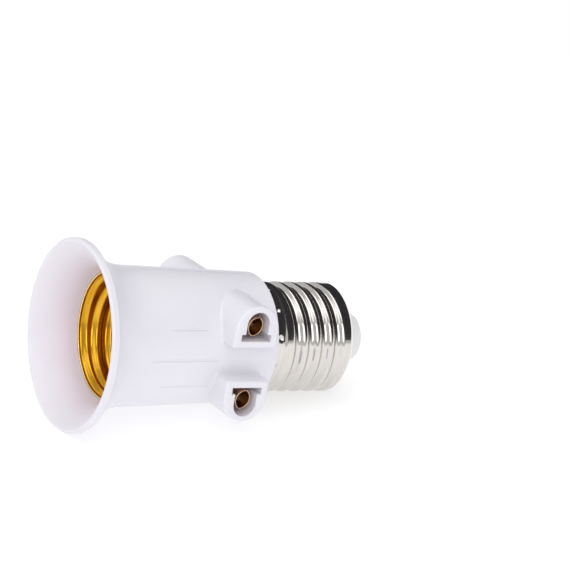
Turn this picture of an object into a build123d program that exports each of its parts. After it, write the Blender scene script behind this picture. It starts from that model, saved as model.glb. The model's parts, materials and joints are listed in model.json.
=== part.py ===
from build123d import *
import os
from math import atan2, cos, sin, sqrt

# Plug-in lamp holder: a screw base carries a lamp socket and two pin outlets.
# It is built upright. Z runs along the lamp axis from the mouth rim to the tip contact,
# X runs out through the outlet bosses and Y joins the two bosses of one outlet.
# At the end the whole holder is laid down the way it rests, on its flare and its screw base.

# Moulded housing
mouth_radius = 22.0
rim_height = 1.6
mouth_edge = 0.3
rim_step = 0.35
flare_length = 12.5
flare_wall = 1.6
body_front_radius = 16.15
body_rear_radius = 15.2
body_length = 48.0
body_edge_radius = 0.8
partition_start = 28.6
partition_thickness = 2.5
cavity_radius = 10.3
recess_radius = 13.4
recess_depth = 1.2
neck_length = 8.2
neck_step_length = 1.0

# Outlet bosses and their pin openings
boss_reach = 20.2
boss_setback = 11.7
boss_arc_offset = 8.2
boss_arc_radius = 5.5
boss_flat_offset = 4.0
boss_corner_radius = 1.2
boss_root_radius = 0.8
boss_edge_radius = 0.5
boss_root = 6.0
pin_offset = 8.7
pin_bore = 4.1
sleeve_wall = 0.3
sleeve_recess = 1.2
sleeve_length = 11.4
sleeve_clearance = 0.125
arch_offset = 9.5
arch_radius = 2.85
arch_depth = 7.0
slot_width = 7.6
slot_near = 5.5
slot_far = 7.1
web_width = 4.6
web_overlap = 1.5
root_margin = 1.0

# Lamp socket shell, in brass sheet
socket_sheet = 0.35
socket_bore_radius = 13.3
socket_lip_station = 9.4
socket_lip_height = 0.6
socket_lip_slope = 1.1
socket_neck_station = 23.9
socket_floor_radius = 10.9
socket_floor_hole = 7.2
socket_clearance = 0.1

# Screw base shell, in nickel-plated sheet
base_sheet = 0.3
base_crest_radius = 13.1
base_collar_radius = 12.9
base_collar_length = 2.8
base_step_length = 0.6
base_sleeve_length = 15.9
base_cone_length = 3.6
base_end_radius = 8.54
base_end_bulge = 0.35
base_clearance = 0.1
neck_wall = 1.3

# Base insulator and tip contact
insulator_depth = 3.1
insulator_land = 0.62
insulator_clearance = 0.05
insulator_height = 4.1
insulator_end_radius = 5.6
contact_radius = 5.26
contact_thickness = 0.6
contact_seat_depth = 0.3
contact_shank_radius = 1.6
contact_shank_bore = 0.9
contact_edge = 0.2
clench_reach = 0.6
clench_height = 0.4

# Centre contact leaf, straps, rivets and wires
leaf_thickness = 0.4
leaf_width = 4.4
leaf_root = 4.5
leaf_root_half = 1.5
leaf_gap = 0.35
leaf_rise = 3.7
leaf_tip = -2.4
leaf_crest = 1.2
leaf_hook = 0.6
leaf_hook_drop = 0.5
leaf_bend_radius = 0.9
strap_thickness = 0.4
strap_width = 4.0
strap_tab_margin = 2.2
foot_half_width = 1.6
foot_outer = 0.9
foot_inner = 1.9
foot_corner = 1.8
tab_half_width = 1.5
rivet_shank_radius = 0.9
rivet_head_radius = 1.3
rivet_crown_radius = 1.1
rivet_head_height = 0.5
rivet_hole_clearance = 0.05
shell_rivet_offset = 8.8
neutral_tab_offset = 4.6
wire_radius = 0.45
wire_passage = 0.6
wire_start_gap = 0.3
wire_lead = 8.7
wire_run_out = 12.9
wire_bend_radius = 12.0
wire_tail = 0.3
solder_radius = 0.8
solder_height = 0.5
solder_film = 0.06
solder_lift = 0.2

# Radii and stations that follow from the sizes above
boss_station = body_length - boss_setback
partition_end = partition_start + partition_thickness
base_collar_end = body_length + base_collar_length
base_thread_start = base_collar_end + base_step_length
base_shoulder_end = base_thread_start + base_sleeve_length
base_end_station = base_shoulder_end + base_cone_length
insulator_end_station = base_end_station + insulator_height
strap_tab_height = boss_station + strap_tab_margin - partition_end
wire_bend_start = boss_station + wire_lead
wire_bend_end = base_end_station - wire_run_out
neck_end = body_length + neck_length
flare_rise = mouth_radius - rim_step - body_front_radius
flare_run = flare_length - rim_height
flare_radius = (flare_rise**2 + flare_run**2) / (2 * flare_rise)
flare_centre = body_front_radius + flare_radius
shell_slope = (base_crest_radius - base_end_radius) / (base_end_station - base_shoulder_end)
sleeve_radius = pin_bore / 2 + sleeve_wall
channel_radius = sleeve_radius + sleeve_clearance
web_offset = pin_offset - sleeve_radius
sleeve_end = boss_reach - sleeve_recess
sleeve_start = sleeve_end - sleeve_length
tab_offset = web_offset - strap_thickness
floor_sheet_start = partition_start - socket_sheet
leaf_seat = partition_start - leaf_gap
rivet_hole = rivet_shank_radius + rivet_hole_clearance
insulator_start = base_end_station - insulator_depth
contact_start = insulator_end_station - contact_seat_depth
contact_end = contact_start + contact_thickness


def flare_at(station, inset=0.0):
    """Radius of the flare at a station, for its outside or for a surface inset from it."""
    reach = flare_radius + inset
    return flare_centre - sqrt(reach**2 - (flare_length - station) ** 2)


def rivet(x, y, z, grip, turns=(0, 0, 0)):
    """Rivet from a point along its own Z: a head, a shank through the grip and a clenched tail."""
    with BuildPart() as fastener:
        with BuildSketch(Plane.XZ):
            Polygon(
                (0, -rivet_head_height),
                (rivet_crown_radius, -rivet_head_height),
                (rivet_head_radius, 0),
                (rivet_shank_radius, 0),
                (rivet_shank_radius, grip),
                (rivet_head_radius, grip),
                (rivet_crown_radius, grip + rivet_head_height),
                (0, grip + rivet_head_height),
                align=None,
            )
        revolve(axis=Axis.Z)
    fastener.part.move(Location((x, y, z), turns))
    return fastener


def contact_bar(side):
    """Long contact of one pole: two rolled pin sleeves joined by a flat web."""
    with BuildPart() as bar:
        for end in (1, -1):
            with BuildSketch(Plane.YZ.offset(end * sleeve_start)):
                with Locations((side * pin_offset, boss_station)):
                    Circle(sleeve_radius)
            extrude(amount=end * sleeve_length)
        with BuildSketch(Plane.YZ):
            with Locations((side * (web_offset + sleeve_wall / 2), boss_station)):
                Rectangle(sleeve_wall, web_width)
        extrude(amount=sleeve_start + web_overlap, both=True)
        with BuildSketch(Plane.YZ):
            with Locations((side * pin_offset, boss_station)):
                Circle(pin_bore / 2)
        extrude(amount=boss_reach, both=True, mode=Mode.SUBTRACT)
        rivet_x = 0 if side < 0 else neutral_tab_offset
        with BuildSketch(Plane.XZ):
            with Locations((rivet_x, boss_station)):
                Circle(rivet_hole)
        extrude(amount=-side * pin_offset, mode=Mode.SUBTRACT)
    return bar


# Seats of the two shells in the housing
lip_seat_radius = flare_at(socket_lip_station, flare_wall)
socket_lip_radius = lip_seat_radius - socket_clearance
socket_sleeve_radius = socket_bore_radius + socket_sheet
recess_floor = body_length - recess_depth
base_shell_start = recess_floor + base_clearance

# Moulded housing with its flare, four outlet bosses and a neck for the screw shell
neck_collar_radius = base_collar_radius - base_sheet - base_clearance
neck_radius = cavity_radius + neck_wall
neck_step = base_collar_end - neck_step_length
shell_bore = socket_sleeve_radius + socket_clearance
with BuildPart() as housing:
    with BuildSketch(Plane.XZ):
        with BuildLine():
            Line((0, 0), (mouth_radius - mouth_edge, 0))
            Line((mouth_radius - mouth_edge, 0), (mouth_radius, mouth_edge))
            Line((mouth_radius, mouth_edge), (mouth_radius, rim_height))
            Line((mouth_radius, rim_height), (flare_at(rim_height), rim_height))
            middle = (rim_height + flare_length) / 2
            ThreePointArc(
                (flare_at(rim_height), rim_height),
                (flare_at(middle), middle),
                (body_front_radius, flare_length),
            )
            Line((body_front_radius, flare_length), (body_rear_radius, body_length))
            Line((body_rear_radius, body_length), (recess_radius, body_length))
            Line((recess_radius, body_length), (recess_radius, recess_floor))
            Line((recess_radius, recess_floor), (neck_collar_radius, recess_floor))
            Line((neck_collar_radius, recess_floor), (neck_collar_radius, neck_step))
            Line((neck_collar_radius, neck_step), (neck_radius, base_collar_end))
            Line((neck_radius, base_collar_end), (neck_radius, neck_end))
            Line((neck_radius, neck_end), (0, neck_end))
            Line((0, neck_end), (0, 0))
        make_face()
    revolve(axis=Axis.Z)
    for face_side in (1, -1):
        with BuildSketch(Plane.YZ.offset(face_side * boss_reach)):
            for side in (1, -1):
                with BuildLine():
                    Polyline(
                        (side * boss_arc_offset, boss_station - boss_arc_radius),
                        (side * boss_flat_offset, boss_station - boss_arc_radius),
                        (side * boss_flat_offset, boss_station + boss_arc_radius),
                        (side * boss_arc_offset, boss_station + boss_arc_radius),
                    )
                    ThreePointArc(
                        (side * boss_arc_offset, boss_station + boss_arc_radius),
                        (side * (boss_arc_offset + boss_arc_radius), boss_station),
                        (side * boss_arc_offset, boss_station - boss_arc_radius),
                    )
                make_face()
            inner_corners = vertices().filter_by(lambda v: abs(abs(v.Y) - boss_flat_offset) < 0.01)
            fillet(inner_corners, boss_corner_radius)
        extrude(amount=-face_side * (boss_reach - boss_root))
    root_edges = edges().filter_by(lambda e: boss_root < abs(e.center().X) < body_front_radius)
    root_edges = root_edges.filter_by(lambda e: max(abs(v.X) for v in e.vertices()) < body_front_radius)
    root_reach = boss_arc_radius + root_margin
    root_edges = root_edges.filter_by(lambda e: abs(e.center().Z - boss_station) < root_reach)
    fillet(root_edges, boss_root_radius)
    body_end_edge = edges().filter_by(GeomType.CIRCLE).filter_by_position(Axis.Z, body_length, body_length)
    fillet(body_end_edge.sort_by(SortBy.RADIUS)[-1], body_edge_radius)
    fillet(faces().filter_by_position(Axis.X, boss_reach, boss_reach).edges(), boss_edge_radius)
    fillet(faces().filter_by_position(Axis.X, -boss_reach, -boss_reach).edges(), boss_edge_radius)
    with BuildSketch(Plane.XZ):
        with BuildLine():
            mouth_inner = flare_at(0, flare_wall)
            middle = socket_lip_station / 2
            Line((0, 0), (mouth_inner, 0))
            ThreePointArc(
                (mouth_inner, 0),
                (flare_at(middle, flare_wall), middle),
                (lip_seat_radius, socket_lip_station),
            )
            seat_end = socket_lip_station + socket_lip_height + socket_clearance
            Line((lip_seat_radius, socket_lip_station), (lip_seat_radius, seat_end))
            bore_start = seat_end + socket_lip_slope
            Line((lip_seat_radius, seat_end), (shell_bore, bore_start))
            Line((shell_bore, bore_start), (shell_bore, partition_start))
            Line((shell_bore, partition_start), (0, partition_start))
            Line((0, partition_start), (0, 0))
        make_face()
    revolve(axis=Axis.Z, mode=Mode.SUBTRACT)
    with BuildSketch(Plane.XY.offset(partition_end)):
        Circle(cavity_radius)
    extrude(amount=neck_end - partition_end, mode=Mode.SUBTRACT)
    with BuildSketch(Plane.YZ):
        for side in (1, -1):
            with Locations((side * (slot_near + slot_far) / 2, boss_station)):
                Rectangle(slot_far - slot_near, slot_width)
            with Locations((side * (slot_near + pin_offset) / 2, boss_station)):
                Rectangle(pin_offset - slot_near, 2 * channel_radius)
            with Locations((side * pin_offset, boss_station)):
                Circle(channel_radius)
    extrude(amount=boss_reach, both=True, mode=Mode.SUBTRACT)
    for face_side in (1, -1):
        with BuildSketch(Plane.YZ.offset(face_side * boss_reach)):
            for side in (1, -1):
                with Locations((side * (slot_near + arch_offset) / 2, boss_station)):
                    Rectangle(arch_offset - slot_near, 2 * arch_radius)
                with Locations((side * arch_offset, boss_station)):
                    Circle(arch_radius)
        extrude(amount=-face_side * arch_depth, mode=Mode.SUBTRACT)
    with BuildSketch(Plane.XY.offset(partition_start)):
        with Locations((shell_rivet_offset, 0), (-shell_rivet_offset, 0), (0, leaf_root)):
            Circle(rivet_hole)
    extrude(amount=partition_thickness, mode=Mode.SUBTRACT)

# Lamp socket shell: sleeve, flared lip, neck and a floor ring riveted to the partition
lip_end = socket_lip_station + socket_lip_height
with BuildPart() as lamp_screw_shell:
    with BuildSketch(Plane.XZ):
        with BuildLine():
            Polyline(
                (socket_lip_radius, socket_lip_station),
                (socket_lip_radius, lip_end),
                (socket_sleeve_radius, lip_end + socket_lip_slope),
                (socket_sleeve_radius, socket_neck_station),
                (socket_floor_radius + socket_sheet, partition_start),
                (socket_floor_hole, partition_start),
                (socket_floor_hole, floor_sheet_start),
                (socket_floor_radius, floor_sheet_start),
                (socket_bore_radius, socket_neck_station),
                (socket_bore_radius, lip_end + socket_lip_slope),
                (socket_lip_radius - socket_sheet, lip_end),
                (socket_lip_radius - socket_sheet, socket_lip_station),
                close=True,
            )
        make_face()
    revolve(axis=Axis.Z)
    with BuildSketch(Plane.XY.offset(floor_sheet_start)):
        with Locations((shell_rivet_offset, 0), (-shell_rivet_offset, 0)):
            Circle(rivet_hole)
    extrude(amount=socket_sheet, mode=Mode.SUBTRACT)

# Screw base shell: collar, sleeve, shoulder and a rounded end
cone_sheet = base_sheet * sqrt(1 + shell_slope**2)
bulge = base_end_bulge / sqrt(1 + shell_slope**2)
middle_radius = (base_crest_radius + base_end_radius) / 2 + bulge
middle_station = (base_shoulder_end + base_end_station) / 2 + bulge * shell_slope
with BuildPart() as base_screw_shell:
    with BuildSketch(Plane.XZ):
        with BuildLine():
            Polyline(
                (base_end_radius - cone_sheet, base_end_station),
                (base_end_radius, base_end_station),
            )
            ThreePointArc(
                (base_end_radius, base_end_station),
                (middle_radius, middle_station),
                (base_crest_radius, base_shoulder_end),
            )
            Polyline(
                (base_crest_radius, base_shoulder_end),
                (base_crest_radius, base_thread_start),
                (base_collar_radius, base_collar_end),
                (base_collar_radius, base_shell_start),
                (base_collar_radius - base_sheet, base_shell_start),
                (base_collar_radius - base_sheet, base_collar_end),
                (base_crest_radius - base_sheet, base_thread_start),
                (base_crest_radius - base_sheet, base_shoulder_end),
            )
            ThreePointArc(
                (base_crest_radius - base_sheet, base_shoulder_end),
                (middle_radius - (base_sheet + cone_sheet) / 2, middle_station),
                (base_end_radius - cone_sheet, base_end_station),
            )
        make_face()
    revolve(axis=Axis.Z)

# Insulator that closes the screw shell, notched for the neutral wire
insulator_rim = base_end_radius - cone_sheet - base_clearance
insulator_foot = insulator_rim + shell_slope * (insulator_depth - insulator_land)
wire_exit_radius = insulator_rim - wire_radius
seat_radius = contact_radius + insulator_clearance
with BuildPart() as base_insulator:
    with BuildSketch(Plane.XZ):
        with BuildLine():
            Polyline(
                (contact_shank_radius, insulator_start),
                (insulator_foot, insulator_start),
                (insulator_rim, base_end_station - insulator_land),
                (insulator_rim, base_end_station),
                (insulator_end_radius, insulator_end_station),
                (seat_radius, insulator_end_station),
                (seat_radius, contact_start),
                (contact_shank_radius, contact_start),
                close=True,
            )
        make_face()
    revolve(axis=Axis.Z)
    with BuildSketch(Plane.XY.offset(insulator_start)):
        with Locations((0, wire_exit_radius)):
            Circle(wire_passage)
        with Locations((0, wire_exit_radius + wire_passage)):
            Rectangle(2 * wire_passage, 2 * wire_passage)
    extrude(amount=insulator_depth + solder_height, mode=Mode.SUBTRACT)

# Tip contact: a flat disc with a hollow shank clenched inside the insulator
with BuildPart() as base_tip_contact:
    with BuildSketch(Plane.XZ):
        with BuildLine():
            Polyline(
                (0, contact_end - contact_edge),
                (0, contact_end),
                (contact_radius - contact_edge, contact_end),
                (contact_radius, contact_end - contact_edge),
                (contact_radius, contact_start),
                (contact_shank_radius, contact_start),
                (contact_shank_radius, insulator_start),
                (contact_shank_radius + clench_reach, insulator_start),
                (contact_shank_radius + clench_reach, insulator_start - clench_height),
                (contact_shank_bore, insulator_start - clench_height),
                (contact_shank_bore, contact_end - contact_edge),
                close=True,
            )
        make_face()
    revolve(axis=Axis.Z)

# Contact bars of the two poles
line_contact_bar = contact_bar(-1)
neutral_contact_bar = contact_bar(1)

# Centre contact leaf, rising from its rivet to the middle of the socket floor
with BuildPart() as contact_leaf:
    with BuildSketch(Plane.YZ):
        with BuildLine():
            FilletPolyline(
                (leaf_root + leaf_root_half, leaf_seat),
                (leaf_root - leaf_root_half, leaf_seat),
                (leaf_tip + leaf_crest, leaf_seat - leaf_rise),
                (leaf_tip - leaf_hook, leaf_seat - leaf_rise + leaf_hook_drop),
                radius=leaf_bend_radius,
            )
            offset(amount=leaf_thickness, side=Side.LEFT)
        make_face()
    extrude(amount=leaf_width / 2, both=True)
    with BuildSketch(Plane.XY.offset(leaf_seat + leaf_gap)):
        with Locations((0, leaf_root)):
            Circle(rivet_shank_radius + leaf_gap)
    extrude(amount=-2 * leaf_gap - leaf_thickness, mode=Mode.SUBTRACT)

# Line strap: under the partition, from the leaf's rivet to the line contact bar
with BuildPart() as line_strap:
    with BuildSketch(Plane.YZ):
        with BuildLine():
            Polyline(
                (leaf_root + strap_width / 2, partition_end),
                (-tab_offset - strap_thickness, partition_end),
                (-tab_offset - strap_thickness, partition_end + strap_tab_height),
            )
            offset(amount=strap_thickness, side=Side.RIGHT, kind=Kind.INTERSECTION)
        make_face()
    extrude(amount=strap_width / 2, both=True)
    with BuildSketch(Plane.XY.offset(partition_end)):
        with Locations((0, leaf_root)):
            Circle(rivet_hole)
    extrude(amount=strap_thickness, mode=Mode.SUBTRACT)
    with BuildSketch(Plane.XZ.offset(tab_offset)):
        with Locations((0, boss_station)):
            Circle(rivet_hole)
    extrude(amount=strap_thickness, both=True, mode=Mode.SUBTRACT)

# Neutral strap: from a shell rivet, round the cavity, to the neutral contact bar
with BuildPart() as neutral_strap:
    with BuildSketch(Plane.XY.offset(partition_end)):
        with BuildLine():
            Polyline(
                (shell_rivet_offset + foot_outer, -foot_half_width),
                (shell_rivet_offset - foot_inner, -foot_half_width),
                (neutral_tab_offset - tab_half_width, foot_corner),
                (neutral_tab_offset - tab_half_width, web_offset),
                (neutral_tab_offset + tab_half_width, web_offset),
                (shell_rivet_offset + foot_outer, foot_half_width),
                close=True,
            )
        make_face()
    extrude(amount=strap_thickness)
    with BuildSketch(Plane.XY.offset(partition_end)):
        with Locations((neutral_tab_offset, web_offset - strap_thickness / 2)):
            Rectangle(2 * tab_half_width, strap_thickness)
    extrude(amount=strap_tab_height)
    with BuildSketch(Plane.XY.offset(partition_end)):
        with Locations((shell_rivet_offset, 0)):
            Circle(rivet_hole)
    extrude(amount=strap_thickness, mode=Mode.SUBTRACT)
    with BuildSketch(Plane.XZ.offset(-tab_offset)):
        with Locations((neutral_tab_offset, boss_station)):
            Circle(rivet_hole)
    extrude(amount=strap_thickness, both=True, mode=Mode.SUBTRACT)

# Rivets: two hold the socket shell, one the leaf, and one joins each strap to its bar
shell_rivet_grip = socket_sheet + partition_thickness
leaf_rivet_grip = 2 * leaf_gap + leaf_thickness + partition_thickness + strap_thickness
bar_rivet_grip = strap_thickness + sleeve_wall
front_shell_rivet = rivet(shell_rivet_offset, 0, floor_sheet_start, shell_rivet_grip + strap_thickness)
rear_shell_rivet = rivet(-shell_rivet_offset, 0, floor_sheet_start, shell_rivet_grip)
leaf_rivet = rivet(0, leaf_root, leaf_seat - leaf_thickness - leaf_gap, leaf_rivet_grip)
line_bar_rivet = rivet(0, -tab_offset, boss_station, bar_rivet_grip, (90, 0, 0))
neutral_bar_rivet = rivet(neutral_tab_offset, tab_offset, boss_station, bar_rivet_grip, (-90, 0, 0))

# Line wire: from the line strap, through the neck, into the shank of the tip contact
wire_foot = boss_station + rivet_head_radius + wire_start_gap
wire_reach = tab_offset - solder_film - wire_radius
with BuildPart() as line_wire:
    with BuildLine() as line_route:
        FilletPolyline(
            (0, -wire_reach, wire_foot),
            (0, -wire_reach, wire_bend_start),
            (0, 0, wire_bend_end),
            (0, 0, contact_end - contact_edge),
            radius=wire_bend_radius,
        )
    with BuildSketch(Plane(line_route.line @ 0, z_dir=line_route.line % 0)):
        Circle(wire_radius)
    sweep()

# Neutral wire: from the neutral strap, through the neck, to the end edge of the screw shell
with BuildPart() as neutral_wire:
    with BuildLine() as neutral_route:
        FilletPolyline(
            (neutral_tab_offset, wire_reach, wire_foot),
            (neutral_tab_offset, wire_reach, wire_bend_start),
            (0, wire_exit_radius, wire_bend_end),
            (0, wire_exit_radius, base_end_station + wire_tail),
            radius=wire_bend_radius,
        )
    with BuildSketch(Plane(neutral_route.line @ 0, z_dir=neutral_route.line % 0)):
        Circle(wire_radius)
    sweep()

# Solder: where the wires meet their straps, and over the end of the screw shell
bead_station = wire_foot + solder_lift + solder_radius
with BuildPart() as line_wire_solder:
    with Locations((0, -wire_reach, bead_station)):
        Sphere(solder_radius)
    add(line_wire.part, mode=Mode.SUBTRACT)
    add(line_strap.part, mode=Mode.SUBTRACT)
with BuildPart() as neutral_wire_solder:
    with Locations((neutral_tab_offset, wire_reach, bead_station)):
        Sphere(solder_radius)
    add(neutral_wire.part, mode=Mode.SUBTRACT)
    add(neutral_strap.part, mode=Mode.SUBTRACT)
with BuildPart() as shell_solder:
    with BuildSketch(Plane.XY.offset(base_end_station)):
        with Locations((0, base_end_radius - cone_sheet / 2)):
            Circle(solder_radius)
    extrude(amount=solder_height, taper=30)
    add(neutral_wire.part, mode=Mode.SUBTRACT)
    add(base_insulator.part, mode=Mode.SUBTRACT)

# The holder as it lies: it touches the surface with the flare's edge and the shell's shoulder
rest_tilt = atan2(mouth_radius - base_crest_radius, base_shoulder_end - rim_height)
lying = Plane((0, 0, 0), x_dir=(0, -1, 0), z_dir=(cos(rest_tilt), 0, -sin(rest_tilt)))
pieces = {
    "housing": housing,
    "lamp_screw_shell": lamp_screw_shell,
    "contact_leaf": contact_leaf,
    "leaf_rivet": leaf_rivet,
    "front_shell_rivet": front_shell_rivet,
    "rear_shell_rivet": rear_shell_rivet,
    "line_strap": line_strap,
    "neutral_strap": neutral_strap,
    "line_contact_bar": line_contact_bar,
    "neutral_contact_bar": neutral_contact_bar,
    "line_bar_rivet": line_bar_rivet,
    "neutral_bar_rivet": neutral_bar_rivet,
    "line_wire": line_wire,
    "neutral_wire": neutral_wire,
    "base_screw_shell": base_screw_shell,
    "base_insulator": base_insulator,
    "base_tip_contact": base_tip_contact,
    "line_wire_solder": line_wire_solder,
    "neutral_wire_solder": neutral_wire_solder,
    "shell_solder": shell_solder,
}
for piece in pieces.values():
    piece.part.move(lying.location)
boxes = [piece.part.bounding_box() for piece in pieces.values()]
middle_x = (min(box.min.X for box in boxes) + max(box.max.X for box in boxes)) / 2
middle_y = (min(box.min.Y for box in boxes) + max(box.max.Y for box in boxes)) / 2
floor_z = min(box.min.Z for box in boxes)
os.makedirs("parts", exist_ok=True)
for name, piece in pieces.items():
    piece.part.move(Location((-middle_x, -middle_y, -floor_z)))
    piece.part.label = name
    export_step(piece.part, f"parts/{name}.step")
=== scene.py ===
import json
import math

import bmesh
import bpy
from mathutils import Matrix, Vector
from mathutils.bvhtree import BVHTree


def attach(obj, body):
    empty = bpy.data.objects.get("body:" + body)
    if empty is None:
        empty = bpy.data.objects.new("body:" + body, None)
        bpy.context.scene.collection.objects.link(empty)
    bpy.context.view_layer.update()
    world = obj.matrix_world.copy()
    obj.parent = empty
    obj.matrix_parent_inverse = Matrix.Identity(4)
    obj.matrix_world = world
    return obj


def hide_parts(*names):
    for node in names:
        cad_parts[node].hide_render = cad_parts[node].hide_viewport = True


# A white plug-in lamp holder lying on a pale floor, seen from its mouth.
# The screw shells, the contact bars, the body's drawn-in end and the mould lines are made here.
# The other pieces are the CAD nodes. Sizes are in millimetres, and places in the scene in metres.

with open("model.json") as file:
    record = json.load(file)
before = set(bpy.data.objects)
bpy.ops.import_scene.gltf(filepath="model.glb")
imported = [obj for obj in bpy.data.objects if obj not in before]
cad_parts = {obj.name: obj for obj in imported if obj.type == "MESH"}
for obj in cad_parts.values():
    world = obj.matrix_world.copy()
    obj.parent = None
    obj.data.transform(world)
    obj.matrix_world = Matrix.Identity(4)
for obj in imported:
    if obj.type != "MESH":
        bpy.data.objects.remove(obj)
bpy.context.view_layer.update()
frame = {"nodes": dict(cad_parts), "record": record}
MM = 0.001

# The holder's own axes: Z runs from the mouth rim to the tip, X out through the near bosses
SOCKET_MOUNT_STATION = 17.5
mounts = {mount["name"]: mount for mount in frame["record"]["mounts"]}
axis = Vector(mounts["screw_base"]["axis"]).normalized()
side = Vector((0, -1, 0))
across = axis.cross(side)
rim_centre = Vector(mounts["lamp_socket"]["pos_m"]) - axis * SOCKET_MOUNT_STATION * MM
holder = Matrix((side, across, axis)).transposed().to_4x4()
holder.translation = rim_centre


def smoothstep(x):
    """0 below 0, 1 above 1 and a smooth rise between."""
    x = min(max(x, 0.0), 1.0)
    return x * x * (3 - 2 * x)


# Lamp thread: equal arcs at crest and root, run in and out along the winding
THREAD_PITCH = 3.629
THREAD_ARC = 1.025
THREAD_DEPTH = 2 * (THREAD_ARC - math.sqrt(THREAD_ARC**2 - (THREAD_PITCH / 4) ** 2))


def thread_height(offset):
    """Height of the rolled thread, from 1 at its ridge to 0 half a pitch away."""
    offset = abs(offset)
    if offset < THREAD_PITCH / 4:
        drop = THREAD_ARC - math.sqrt(THREAD_ARC**2 - offset**2)
        return 1 - drop / THREAD_DEPTH
    offset = THREAD_PITCH / 2 - offset
    drop = THREAD_ARC - math.sqrt(THREAD_ARC**2 - offset**2)
    return drop / THREAD_DEPTH


def thread_wave(station, turn, start, turns, run_in, run_out):
    """Thread height at a station and a fraction of a turn, faded in and out along the winding."""
    place = (station - start) / THREAD_PITCH - turn
    winding = min(max(round(place), -1), math.ceil(turns))
    along = winding + turn
    fade = smoothstep(along / run_in) * smoothstep((turns - along) / run_out)
    offset = (place - winding) * THREAD_PITCH
    if abs(offset) > THREAD_PITCH / 2:
        return 0.0
    return fade * thread_height(offset)


def stations(stops, end):
    """Stations up to an end, from pairs of a start and the step that follows it."""
    starts = [start for start, step in stops] + [end]
    out = []
    for (start, step), stop in zip(stops, starts[1:]):
        count = max(1, round((stop - start) / step))
        out += [start + (stop - start) * i / count for i in range(count)]
    return out + [end]


def loft(name, rings, wrap=False, caps=()):
    """Smooth mesh through rings of points, closed round each ring.

    Wrap joins the last ring to the first. Caps are index quads for the open ends.
    """
    count = len(rings[0])
    verts = [(x * MM, y * MM, z * MM) for ring in rings for x, y, z in ring]
    faces = []
    for i in range(len(rings) if wrap else len(rings) - 1):
        j = (i + 1) % len(rings)
        for k in range(count):
            m = (k + 1) % count
            faces.append((i * count + k, i * count + m, j * count + m, j * count + k))
    last = (len(rings) - 1) * count
    for quad in caps:
        faces.append(tuple(reversed(quad)))
        faces.append(tuple(last + k for k in quad))
    mesh = bpy.data.meshes.new(name)
    mesh.from_pydata(verts, [], faces)
    mesh.validate()
    solid = bmesh.new()
    solid.from_mesh(mesh)
    bmesh.ops.recalc_face_normals(solid, faces=solid.faces)
    solid.to_mesh(mesh)
    solid.free()
    mesh.polygons.foreach_set("use_smooth", [True] * len(mesh.polygons))
    obj = bpy.data.objects.new(name, mesh)
    bpy.context.scene.collection.objects.link(obj)
    return obj


def sheet_shell(name, levels, radius_at, sheet, columns):
    """Closed shell of sheet round the lamp axis.

    radius_at(level, turn) gives a radius and a station. The sheet's other side lies further out,
    or further in where the sheet is negative.
    """
    rows = [[radius_at(level, k / columns) for k in range(columns)] for level in levels]
    rows += [[(r + sheet, z) for r, z in ring] for ring in reversed(rows)]
    angles = [2 * math.pi * k / columns for k in range(columns)]
    rings = []
    for row in rows:
        rings.append([(r * math.cos(a), r * math.sin(a), z) for a, (r, z) in zip(angles, row)])
    return loft(name, rings, wrap=True)


def joined(name, parts):
    """One object from several loose meshes."""
    whole = bmesh.new()
    for part in parts:
        whole.from_mesh(part.data)
        bpy.data.objects.remove(part)
    mesh = bpy.data.meshes.new(name)
    whole.to_mesh(mesh)
    whole.free()
    mesh.polygons.foreach_set("use_smooth", [True] * len(mesh.polygons))
    obj = bpy.data.objects.new(name, mesh)
    bpy.context.scene.collection.objects.link(obj)
    return obj


def mark(obj, name, values):
    """Stores one value per vertex for a finish to read."""
    layer = obj.data.attributes.new(name, "FLOAT", "POINT")
    layer.data.foreach_set("value", values)


def settle(obj):
    """Moves a piece's points from the holder's own axes to the row frame."""
    obj.data.transform(holder)


# Both rolled shells: points round the axis, and steps along it on plain and threaded stretches
SHELL_COLUMNS = 240
PLAIN_STEP = 0.2
THREAD_STEP = 0.14

# Lamp socket shell: flared lip, plain band, inward thread ridges and a floor ring
SOCKET_SHEET = 0.35
SOCKET_BORE = 13.3
SOCKET_LIP_RADIUS = 14.4
SOCKET_LIP = 9.4
SOCKET_LIP_END = 9.9
SOCKET_BORE_START = 11.3
SOCKET_THREAD_START = 12.05
SOCKET_THREAD_TURNS = 3.4
SOCKET_RUN_IN = 0.35
SOCKET_RUN_OUT = 0.5
SOCKET_NECK = 23.9
SOCKET_FLOOR = 28.25
SOCKET_FLOOR_RADIUS = 10.9
SOCKET_FLOOR_HOLE = 7.2
SOCKET_FLOOR_RINGS = 6
LIP_HIGHLIGHT_END = 0.35
LIP_HIGHLIGHT_FADE = 0.25


def socket_radius(level, turn):
    """Inside of the socket shell. Levels past the floor fold in along the floor ring."""
    if level > SOCKET_FLOOR:
        return SOCKET_FLOOR_RADIUS - (level - SOCKET_FLOOR), SOCKET_FLOOR
    flare = smoothstep((SOCKET_BORE_START - level) / (SOCKET_BORE_START - SOCKET_LIP_END))
    narrow = max(0.0, (level - SOCKET_NECK) / (SOCKET_FLOOR - SOCKET_NECK))
    plain = SOCKET_BORE + (SOCKET_LIP_RADIUS - SOCKET_BORE) * flare
    plain -= (SOCKET_BORE - SOCKET_FLOOR_RADIUS) * narrow
    ridge = thread_wave(
        level, turn, SOCKET_THREAD_START, SOCKET_THREAD_TURNS, SOCKET_RUN_IN, SOCKET_RUN_OUT
    )
    return plain - THREAD_DEPTH * ridge, level


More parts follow.
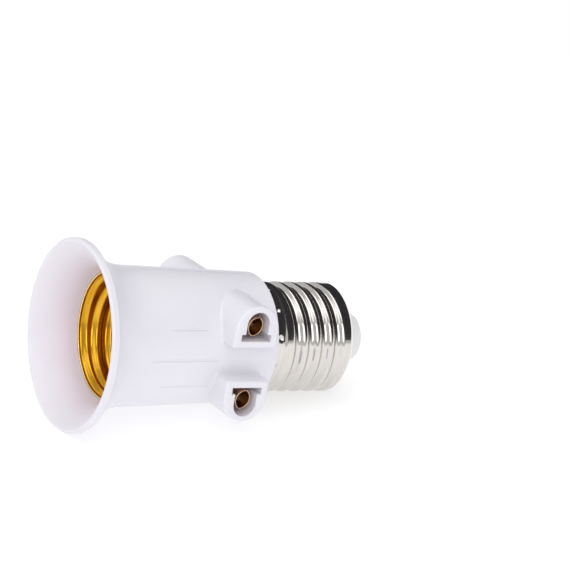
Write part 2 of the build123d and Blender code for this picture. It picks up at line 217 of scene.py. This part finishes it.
socket_levels = stations([(SOCKET_LIP, PLAIN_STEP), (SOCKET_BORE_START, THREAD_STEP)], SOCKET_FLOOR)
floor_width = SOCKET_FLOOR_RADIUS - SOCKET_FLOOR_HOLE
for i in range(1, SOCKET_FLOOR_RINGS + 1):
    socket_levels.append(SOCKET_FLOOR + floor_width * i / SOCKET_FLOOR_RINGS)
socket_shell = sheet_shell(
    "rolled_socket_shell", socket_levels, socket_radius, SOCKET_SHEET, SHELL_COLUMNS
)
# Painted highlight along the edge of the socket lip
lip_highlight_marks = []
for vertex in socket_shell.data.vertices:
    past_lip = vertex.co.z / MM - SOCKET_LIP
    lip_highlight_marks.append(smoothstep((LIP_HIGHLIGHT_END - past_lip) / LIP_HIGHLIGHT_FADE))
mark(socket_shell, "painted_light", lip_highlight_marks)
settle(socket_shell)
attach(socket_shell, "body")
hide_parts("lamp_screw_shell")

# Screw base shell: crimped collar, rolled thread, shoulder and a rounded cone to the end edge
BASE_SHEET = 0.3
BASE_CREST = 13.1
BASE_COLLAR = 12.9
BASE_COLLAR_START = 45.6
BASE_COLLAR_END = 49.0
BASE_COLLAR_RISE = 0.8
BASE_THREAD_START = 49.5
BASE_THREAD_TURNS = 4.45
BASE_RUN_IN = 0.3
BASE_RUN_OUT = 0.5
BASE_SHOULDER = 67.3
BASE_END_RADIUS = 8.54
BASE_END = 70.9
BASE_BULGE = 0.35
CRIMP_COUNT = 12
CRIMP_STATION = 48.0
CRIMP_ANGLE = -16.0
CRIMP_RADIUS = 0.75
CRIMP_DEPTH = 0.55


def base_radius(station, turn):
    """Outside of the screw shell."""
    if station > BASE_SHOULDER:
        t = (station - BASE_SHOULDER) / (BASE_END - BASE_SHOULDER)
        cone = BASE_CREST + (BASE_END_RADIUS - BASE_CREST) * t
        return cone + BASE_BULGE * 4 * t * (1 - t), station
    rise = smoothstep((station - BASE_COLLAR_END) / BASE_COLLAR_RISE)
    plain = BASE_COLLAR + (BASE_CREST - BASE_COLLAR) * rise
    groove = thread_wave(
        station, turn, BASE_THREAD_START, BASE_THREAD_TURNS, BASE_RUN_IN, BASE_RUN_OUT
    )
    return plain - THREAD_DEPTH * groove, station


def crimp(shell):
    """Presses a ring of round dents into the collar."""
    spacing = 360 / CRIMP_COUNT
    for vertex in shell.data.vertices:
        x, y, z = (c / MM for c in vertex.co)
        angle = math.degrees(math.atan2(y, x)) - CRIMP_ANGLE
        arc = math.radians((angle + spacing / 2) % spacing - spacing / 2) * BASE_COLLAR
        reach = math.hypot(arc, z - CRIMP_STATION) / CRIMP_RADIUS
        if reach < 1:
            dent = CRIMP_DEPTH * (1 - smoothstep(reach))
            radius = math.hypot(x, y)
            vertex.co.x *= (radius - dent) / radius
            vertex.co.y *= (radius - dent) / radius


base_stops = [
    (BASE_COLLAR_START, PLAIN_STEP),
    (BASE_COLLAR_END, THREAD_STEP),
    (BASE_SHOULDER, PLAIN_STEP),
]
base_levels = stations(base_stops, BASE_END)
base_shell = sheet_shell("rolled_base_shell", base_levels, base_radius, -BASE_SHEET, SHELL_COLUMNS)
crimp(base_shell)
settle(base_shell)
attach(base_shell, "body")
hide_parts("base_screw_shell")

# Moulded body: the CAD housing with the end behind its outlets drawn in to the photographed length
FLARE_ARC = 13.55
FLARE_CENTRE = 29.7
FLARE_END = 12.5
FLARE_WALL = 1.6
DRAW_START = 42.6
BODY_END = 48.0
BODY_DRAWN_END = 46.2
BODY_END_SLACK = 0.01
FUNNEL_END = 9.9
RIM_PAINTED_SHARE = 0.25


def flare_radius(station):
    """Outside of the flare, an arc that ends on the body."""
    return FLARE_CENTRE - math.sqrt(FLARE_ARC**2 - (FLARE_END - min(station, FLARE_END)) ** 2)


mould_mesh = frame["nodes"]["housing"].data.copy()
mould = bpy.data.objects.new("moulded_body", mould_mesh)
bpy.context.scene.collection.objects.link(mould)
mould_mesh.transform(holder.inverted())
# Marks inside the funnel for painted reflected light from the brass and painted shade, faint at the
# rim and full at the brass lip
funnel_painted_marks = []
for vertex in mould_mesh.vertices:
    station = vertex.co.z / MM
    radius = math.hypot(vertex.co.x, vertex.co.y) / MM
    if DRAW_START < station <= BODY_END + BODY_END_SLACK:
        along = (station - DRAW_START) / (BODY_END - DRAW_START)
        vertex.co.z = (DRAW_START + along * (BODY_DRAWN_END - DRAW_START)) * MM
    inside = station < FUNNEL_END and radius < flare_radius(station) - FLARE_WALL / 2
    depth = RIM_PAINTED_SHARE + (1 - RIM_PAINTED_SHARE) * station / SOCKET_LIP
    funnel_painted_marks.append(smoothstep(depth) if inside else 0.0)
mark(mould, "painted_light", funnel_painted_marks)
mould_points = [vertex.co.copy() for vertex in mould_mesh.vertices]
mould_faces = [tuple(face.vertices) for face in mould_mesh.polygons]
mould_surface = BVHTree.FromPolygons(mould_points, mould_faces)
settle(mould)
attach(mould, "body")
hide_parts("housing")

# Mould lines, each with its angle and ends: three on the near side, then the top and the bottom
MOULD_LINES = (
    (-23, 17.6, 27.0),
    (2.5, 13.2, 30.1),
    (27.5, 17.2, 29.6),
    (-90, 13.0, 43.5),
    (90, 13.0, 43.5),
)
LINE_PROUD = 0.035
LINE_SHOULDER = 0.6
LINE_SINK = 0.03
LINE_ROOT = 0.09
LINE_HALF_WIDTH = 0.16
LINE_STEPS = 24
LINE_FADE_SHARE = 1 / 4
PAST_THE_BODY = 30.0


def body_radius(angle, station):
    """Outside of the moulded body at an angle in radians, found on its mesh."""
    outward = Vector((math.cos(angle), math.sin(angle), 0))
    start = outward * PAST_THE_BODY * MM + Vector((0, 0, station * MM))
    hit = mould_surface.ray_cast(start, -outward)[0]
    return math.hypot(hit.x, hit.y) / MM


def mould_line(name, degrees, start, end):
    """Low ridge along the body, rooted under its surface and fading out at both ends."""
    angle = math.radians(degrees)
    rings = []
    for i in range(LINE_STEPS + 1):
        along = i / LINE_STEPS
        station = start + (end - start) * along
        fade = smoothstep(along / LINE_FADE_SHARE) * smoothstep((1 - along) / LINE_FADE_SHARE)
        top = LINE_PROUD * fade
        profile = (
            (-1, -LINE_SINK),
            (-0.5, LINE_SHOULDER * top),
            (0, top),
            (0.5, LINE_SHOULDER * top),
            (1, -LINE_SINK),
            (0, -LINE_ROOT),
        )
        surface = body_radius(angle, station)
        ring = []
        for offset, rise in profile:
            place = angle + offset * LINE_HALF_WIDTH / surface
            radius = surface + rise
            ring.append((radius * math.cos(place), radius * math.sin(place), station))
        rings.append(ring)
    return loft(name, rings, caps=[(0, 1, 2, 5), (2, 3, 4, 5)])


mould_lines = joined("mould_lines", [mould_line("line", *line) for line in MOULD_LINES])
flat = [False] * len(mould_lines.data.polygons)
mould_lines.data.polygons.foreach_set("use_smooth", flat)
settle(mould_lines)
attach(mould_lines, "body")

# Contact bars: a leaning lens-shaped sleeve of rolled sheet at each end of a flat web
BOSS_STATION = 36.3
BAR_SHEET = 0.24
SLEEVE_OFFSET = 8.7
SLEEVE_HALF_WIDTH = 1.87
SLEEVE_HALF_HEIGHT = 2.35
SLEEVE_POINT = 1.45
SLEEVE_SEAM = 0.05
SLEEVE_SECTION_STEPS = 48
SLEEVE_START = 7.6
SLEEVE_END = 19.0
SLEEVE_LIP = 0.12
SLEEVE_LEAN = math.radians(20)
WEB_OFFSET = 6.35
WEB_WIDTH = 4.6
WEB_REACH = 9.1
WEB_EDGE = 0.04

# Each sleeve's rings, as distances from the lamp axis and shares of the sheet's thickness
SLEEVE_RINGS = (
    (SLEEVE_START, 1.0),
    (SLEEVE_END - SLEEVE_LIP - 0.3, 1.0),
    (SLEEVE_END - SLEEVE_LIP, 1.0),
    (SLEEVE_END - SLEEVE_LIP * 0.4, 0.8),
    (SLEEVE_END, 0.45),
)


def lens_point(t, half_width, half_height):
    """Point of a pointed oval at angle t, measured from its outer point."""
    c, s = math.cos(t), math.sin(t)
    reach = (abs(s) ** SLEEVE_POINT + c * c) ** -0.5
    return half_width * s * reach, half_height * c * reach


def sleeve_section(sheet):
    """Loop of a rolled sleeve's section: outside one way round, inside back, open at the seam."""
    sweep = 2 * math.pi - 2 * SLEEVE_SEAM
    steps = range(SLEEVE_SECTION_STEPS + 1)
    turns = [SLEEVE_SEAM + sweep * i / SLEEVE_SECTION_STEPS for i in steps]
    outer = (BAR_SHEET - sheet) / 2
    inner = outer + sheet
    outside = [lens_point(t, SLEEVE_HALF_WIDTH - outer, SLEEVE_HALF_HEIGHT - outer) for t in turns]
    inside = [lens_point(t, SLEEVE_HALF_WIDTH - inner, SLEEVE_HALF_HEIGHT - inner) for t in turns]
    return outside + inside[::-1]


def sleeve_rings(pole, end):
    """Rings of one sleeve, from the web out to its rounded lip."""
    rings = []
    for reach, share in SLEEVE_RINGS:
        ring = []
        for width, height in sleeve_section(BAR_SHEET * share):
            rise = -pole * height * math.cos(SLEEVE_LEAN) - width * math.sin(SLEEVE_LEAN)
            along = -pole * height * math.sin(SLEEVE_LEAN) + width * math.cos(SLEEVE_LEAN)
            ring.append((end * reach, pole * SLEEVE_OFFSET - rise, BOSS_STATION + along))
        rings.append(ring)
    return rings


def web_rings(pole):
    """Rings of the web, a flat strip with broken edges."""
    inner_reach = WEB_REACH - WEB_EDGE
    rings = []
    for x, shrink in (
        (-WEB_REACH, WEB_EDGE),
        (-inner_reach, 0),
        (inner_reach, 0),
        (WEB_REACH, WEB_EDGE),
    ):
        half = WEB_WIDTH / 2 - shrink
        low = WEB_OFFSET + shrink
        high = WEB_OFFSET + BAR_SHEET - shrink
        corners = [
            (half - WEB_EDGE, low),
            (half, low + WEB_EDGE),
            (half, high - WEB_EDGE),
            (half - WEB_EDGE, high),
            (WEB_EDGE - half, high),
            (-half, high - WEB_EDGE),
            (-half, low + WEB_EDGE),
            (WEB_EDGE - half, low),
        ]
        rings.append([(x, pole * y, BOSS_STATION + z) for z, y in corners])
    return rings


def contact_bar(name, pole):
    """Bar of one pole, with its web and both sleeves in one mesh, marked inside the sleeves for
    painted shade.
    """
    parts = []
    painted_marks = []
    for end in (1, -1):
        rings = sleeve_rings(pole, end)
        count = len(rings[0])
        caps = [(k, k + 1, count - 2 - k, count - 1 - k) for k in range(count // 2 - 1)]
        parts.append(loft(name, rings, caps=caps))
        # Painted shade inside the sleeves' bores
        painted_bore_ring = [0.0] * (count // 2) + [1.0] * (count - count // 2)
        painted_marks += painted_bore_ring * (len(rings) - 1) + [0.0] * count
    rings = web_rings(pole)
    parts.append(loft(name, rings, caps=[(0, 1, 2, 3), (0, 3, 4, 7), (4, 5, 6, 7)]))
    painted_marks += [0.0] * (len(rings) * len(rings[0]))
    bar = joined(name, parts)
    mark(bar, "painted_light", painted_marks)
    return bar


bars = []
for name, pole, node in (
    ("rolled_line_bar", -1, "line_contact_bar"),
    ("rolled_neutral_bar", 1, "neutral_contact_bar"),
):
    bar = contact_bar(name, pole)
    settle(bar)
    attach(bar, "body")
    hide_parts(node)
    bars.append(bar)

# Finishes: textures run along the holder's axis, and a painted light colour shows where a piece is
# marked: painted reflected light and shade inside the funnel, a painted highlight on the socket lip
# and painted shade inside the contact sleeves
LAMP_TILT = math.atan2(axis.z, axis.x)
PLASTIC_EDGE = 0.00035
METAL_EDGE = 0.0001
# Pinkish grey inside the funnel: painted reflected light from the brass and painted shade
FUNNEL_PAINTED_BOUNCE_SHADE = (0.77, 0.70, 0.765)
# Pale gold of the painted highlight on the socket lip
LIP_PAINTED_HIGHLIGHT = (0.95, 0.80, 0.42)
# Dark brown of the painted shade inside the contact sleeves
BORE_PAINTED_SHADE = (0.62, 0.31, 0.11)


def new_material(name):
    """Empty node material with its shader and output."""
    material = bpy.data.materials.new(name)
    material.use_nodes = True
    tree = material.node_tree
    tree.nodes.clear()
    output = tree.nodes.new("ShaderNodeOutputMaterial")
    shader = tree.nodes.new("ShaderNodeBsdfPrincipled")
    tree.links.new(shader.outputs["BSDF"], output.inputs["Surface"])
    return material, tree, shader


def noise(tree, scale, detail=3.0, stretch=(1, 1, 1)):
    """Noise in object space turned to the lamp axis, with the scale per metre."""
    coords = tree.nodes.new("ShaderNodeTexCoord")
    level = tree.nodes.new("ShaderNodeMapping")
    level.inputs["Rotation"].default_value = (0, LAMP_TILT, 0)
    mapping = tree.nodes.new("ShaderNodeMapping")
    mapping.inputs["Scale"].default_value = stretch
    texture = tree.nodes.new("ShaderNodeTexNoise")
    texture.inputs["Scale"].default_value = scale
    texture.inputs["Detail"].default_value = detail
    tree.links.new(coords.outputs["Object"], level.inputs["Vector"])
    tree.links.new(level.outputs["Vector"], mapping.inputs["Vector"])
    tree.links.new(mapping.outputs["Vector"], texture.inputs["Vector"])
    return texture


def ramp(tree, source, low, high, start=0.0, end=1.0):
    """Colours between two ends, driven by a factor."""
    node = tree.nodes.new("ShaderNodeValToRGB")
    node.color_ramp.elements[0].position = start
    node.color_ramp.elements[0].color = (*low, 1)
    node.color_ramp.elements[1].position = end
    node.color_ramp.elements[1].color = (*high, 1)
    tree.links.new(source, node.inputs["Fac"])
    return node


def spread(tree, source, low, high):
    """Value between low and high, driven by a noise factor."""
    node = tree.nodes.new("ShaderNodeMapRange")
    node.inputs["From Min"].default_value = 0.3
    node.inputs["From Max"].default_value = 0.7
    node.inputs["To Min"].default_value = low
    node.inputs["To Max"].default_value = high
    tree.links.new(source, node.inputs["Value"])
    return node


def bumped(tree, shader, source, distance, strength, edge):
    """Bump of a given depth in metres, over edges rounded by a given radius in metres."""
    bump = tree.nodes.new("ShaderNodeBump")
    bump.inputs["Distance"].default_value = distance
    bump.inputs["Strength"].default_value = strength
    tree.links.new(source, bump.inputs["Height"])
    if edge:
        rounded = tree.nodes.new("ShaderNodeBevel")
        rounded.samples = 6
        rounded.inputs["Radius"].default_value = edge
        tree.links.new(rounded.outputs["Normal"], bump.inputs["Normal"])
    tree.links.new(bump.outputs["Normal"], shader.inputs["Normal"])


def coloured(tree, shader, tint, painted_light):
    """Links a tint to the shader, turned to the painted light colour where the mesh's mark is high.
    """
    colour = tint.outputs["Color"]
    if painted_light:
        # Reads the marks for painted highlight, painted reflection and painted shade
        painted_marks = tree.nodes.new("ShaderNodeAttribute")
        painted_marks.attribute_name = "painted_light"
        blend = tree.nodes.new("ShaderNodeMix")
        blend.data_type = "RGBA"
        factor, base, marked = blend.inputs[0], blend.inputs[6], blend.inputs[7]
        marked.default_value = (*painted_light, 1)
        tree.links.new(painted_marks.outputs["Fac"], factor)
        tree.links.new(colour, base)
        colour = blend.outputs[2]
    tree.links.new(colour, shader.inputs["Base Color"])


def moulded(name, low, high, roughness, translucency, painted_light=None, edge=PLASTIC_EDGE):
    """Satin moulded plastic: soft, faintly mottled and fine-grained."""
    material, tree, shader = new_material(name)
    cloud = noise(tree, 90.0)
    tint = ramp(tree, cloud.outputs["Fac"], low, high, 0.35, 0.65)
    coloured(tree, shader, tint, painted_light)
    grain = noise(tree, 2600.0, 2.0)
    gloss = spread(tree, cloud.outputs["Fac"], roughness * 0.85, roughness * 1.15)
    tree.links.new(gloss.outputs["Result"], shader.inputs["Roughness"])
    shader.inputs["IOR"].default_value = 1.5
    shader.inputs["Subsurface Weight"].default_value = translucency
    shader.inputs["Subsurface Radius"].default_value = (1.0, 0.85, 0.9)
    shader.inputs["Subsurface Scale"].default_value = 0.0012
    bumped(tree, shader, grain.outputs["Fac"], 0.00001, 0.4, edge)
    return material


def metal(name, low, high, gloss, painted_light=None, stretch=(1, 1, 1), scale=300.0, depth=0.000004):
    """Worked metal: streaked colour and roughness with a fine bump."""
    material, tree, shader = new_material(name)
    worked = noise(tree, scale, 4.0, stretch)
    tint = ramp(tree, worked.outputs["Fac"], low, high, 0.3, 0.7)
    coloured(tree, shader, tint, painted_light)
    roughness = spread(tree, worked.outputs["Fac"], *gloss)
    tree.links.new(roughness.outputs["Result"], shader.inputs["Roughness"])
    shader.inputs["Metallic"].default_value = 1.0
    bumped(tree, shader, worked.outputs["Fac"], depth, 0.6, METAL_EDGE)
    return material


PLASTICS = {
    "white_plastic": {
        "low": (0.765, 0.755, 0.815),
        "high": (0.785, 0.775, 0.83),
        "roughness": 0.36,
        "translucency": 0.3,
        "painted_light": FUNNEL_PAINTED_BOUNCE_SHADE,
    },
    # Darker than the body's plastic: painted shade along the mould lines' ridges
    "line_plastic": {
        "low": (0.65, 0.64, 0.70),
        "high": (0.68, 0.67, 0.73),
        "roughness": 0.36,
        "translucency": 0.0,
        "edge": 0.0,
    },
    "insulator_white": {
        "low": (0.76, 0.76, 0.78),
        "high": (0.80, 0.80, 0.82),
        "roughness": 0.4,
        "translucency": 0.15,
    },
}
METALS = {
    "socket_brass": {
        "low": (0.56, 0.27, 0.010),
        "high": (0.82, 0.46, 0.04),
        "gloss": (0.15, 0.24),
        "painted_light": LIP_PAINTED_HIGHLIGHT,
        "stretch": (14, 1, 1),
        "scale": 120.0,
    },
    "spring_brass": {
        "low": (0.70, 0.46, 0.16),
        "high": (0.80, 0.56, 0.23),
        "gloss": (0.22, 0.34),
    },
    "rivet_brass": {
        "low": (0.62, 0.43, 0.18),
        "high": (0.72, 0.52, 0.25),
        "gloss": (0.28, 0.42),
        "scale": 700.0,
    },
    "contact_copper": {
        "low": (0.72, 0.44, 0.28),
        "high": (0.86, 0.58, 0.40),
        "gloss": (0.26, 0.40),
        "painted_light": BORE_PAINTED_SHADE,
        "scale": 500.0,
    },
    "bare_wire": {
        "low": (0.62, 0.30, 0.16),
        "high": (0.76, 0.42, 0.26),
        "gloss": (0.25, 0.38),
        "scale": 600.0,
    },
    "base_nickel": {
        "low": (0.66, 0.635, 0.605),
        "high": (0.74, 0.715, 0.685),
        "gloss": (0.07, 0.14),
        "stretch": (10, 1, 1),
        "scale": 140.0,
    },
    "tip_grey": {
        "low": (0.34, 0.34, 0.35),
        "high": (0.46, 0.46, 0.47),
        "gloss": (0.35, 0.55),
        "scale": 900.0,
    },
    "solder_grey": {
        "low": (0.40, 0.40, 0.41),
        "high": (0.55, 0.55, 0.56),
        "gloss": (0.25, 0.45),
        "scale": 1200.0,
        "depth": 0.00003,
    },
}
finishes = {name: moulded(name, **look) for name, look in PLASTICS.items()}
finishes.update({name: metal(name, **look) for name, look in METALS.items()})


def finish(piece, name):
    """Gives a piece one finish."""
    piece.data.materials.clear()
    piece.data.materials.append(finishes[name])


for subpart in frame["record"]["subparts"]:
    finish(frame["nodes"][subpart["node"]], subpart["material_slot"])
finish(socket_shell, "socket_brass")
finish(base_shell, "base_nickel")
finish(mould, "white_plastic")
finish(mould_lines, "line_plastic")
for bar in bars:
    finish(bar, "contact_copper")

# Floor, glowing faintly so that it stays as pale as the photograph's
FLOOR_SIZE = 4.0
FLOOR_GLOW = 0.58
bpy.ops.mesh.primitive_plane_add(size=FLOOR_SIZE, location=(0, 0, 0))
floor = bpy.context.object
floor.name = "floor"
floor_material, floor_tree, floor_shader = new_material("floor_white")
floor_tone = noise(floor_tree, 3.0)
floor_tint = ramp(floor_tree, floor_tone.outputs["Fac"], (0.50, 0.50, 0.505), (0.52, 0.52, 0.525))
floor_tree.links.new(floor_tint.outputs["Color"], floor_shader.inputs["Base Color"])
floor_shader.inputs["Roughness"].default_value = 0.9
floor_shader.inputs["Specular IOR Level"].default_value = 0.0
floor_shader.inputs["Emission Color"].default_value = (1.0, 1.0, 1.0, 1)
floor_shader.inputs["Emission Strength"].default_value = FLOOR_GLOW
floor.data.materials.append(floor_material)


# Light: three soft panels and an even white surround
def soft_light(name, place, aim, size, power, colour=(1, 1, 1)):
    """Square area light, with places and size in metres and power in watts."""
    data = bpy.data.lights.new(name, "AREA")
    data.shape = "SQUARE"
    data.size = size
    data.energy = power
    data.color = colour
    obj = bpy.data.objects.new(name, data)
    bpy.context.scene.collection.objects.link(obj)
    obj.location = place
    obj.rotation_euler = (Vector(aim) - Vector(place)).to_track_quat("-Z", "Y").to_euler()


WARM = (1.0, 0.985, 0.97)
SURROUND_STRENGTH = 0.62
soft_light("overhead", place=(-0.1, -0.1, 0.9), aim=(0, 0, 0), size=1.0, power=3.3)
soft_light("front", place=(-0.45, -0.85, 0.45), aim=(0, 0, 0.02), size=0.6, power=2.3, colour=WARM)
soft_light("left", place=(-0.9, 0.1, 0.5), aim=(0, 0, 0.02), size=0.6, power=0.9)
world = bpy.data.worlds.new("studio")
world.use_nodes = True
backdrop = world.node_tree.nodes["Background"]
backdrop.inputs["Color"].default_value = (1.0, 1.0, 1.0, 1)
backdrop.inputs["Strength"].default_value = SURROUND_STRENGTH
bpy.context.scene.world = world

# Dark flag leaning over the base from the right, seen only in reflections
FLAG_PLACE = (0.11, -0.08, 0.19)
FLAG_TURN = math.radians(-125)
FLAG_HEIGHT = 0.36
FLAG_WIDTH = 0.80
bpy.ops.mesh.primitive_plane_add(size=1.0, location=FLAG_PLACE, rotation=(0, FLAG_TURN, 0))
flag = bpy.context.object
flag.name = "dark_flag"
flag.scale = (FLAG_HEIGHT, FLAG_WIDTH, 1.0)
flag_material, flag_tree, flag_shader = new_material("flag_black")
flag_tone = noise(flag_tree, 8.0)
flag_tint = ramp(flag_tree, flag_tone.outputs["Fac"], (0.012, 0.011, 0.014), (0.03, 0.028, 0.033))
flag_tree.links.new(flag_tint.outputs["Color"], flag_shader.inputs["Base Color"])
flag_shader.inputs["Roughness"].default_value = 1.0
flag.data.materials.append(flag_material)
flag.visible_camera = False
flag.visible_diffuse = False
flag.visible_shadow = False
flag.visible_transmission = False

# Camera, placed in the holder's own axes
CAMERA_PLACE = Vector((400.5, -135.8, -206.4)) * MM
CAMERA_RIGHT = Vector((0.4994, -0.1736, 0.8488))
CAMERA_DOWN = Vector((0.3033, 0.9528, 0.0163))
FOCAL_PIXELS = 2092.2
IMAGE_PIXELS = 570
SENSOR = 36.0
NEAR_CLIP = 0.01
to_row = holder.to_3x3()
right = (to_row @ CAMERA_RIGHT).normalized()
forward = right.cross(to_row @ CAMERA_DOWN).normalized()
up = right.cross(forward)
looking = Matrix((right, up, -forward)).transposed().to_4x4()
camera_data = bpy.data.cameras.new("camera")
camera_data.sensor_width = SENSOR
camera_data.sensor_fit = "HORIZONTAL"
camera_data.lens = FOCAL_PIXELS / IMAGE_PIXELS * SENSOR
camera_data.clip_start = NEAR_CLIP
camera = bpy.data.objects.new("camera", camera_data)
bpy.context.scene.collection.objects.link(camera)
camera.matrix_world = Matrix.Translation(holder @ CAMERA_PLACE) @ looking
bpy.context.scene.camera = camera
bpy.context.scene.view_settings.view_transform = "Standard"
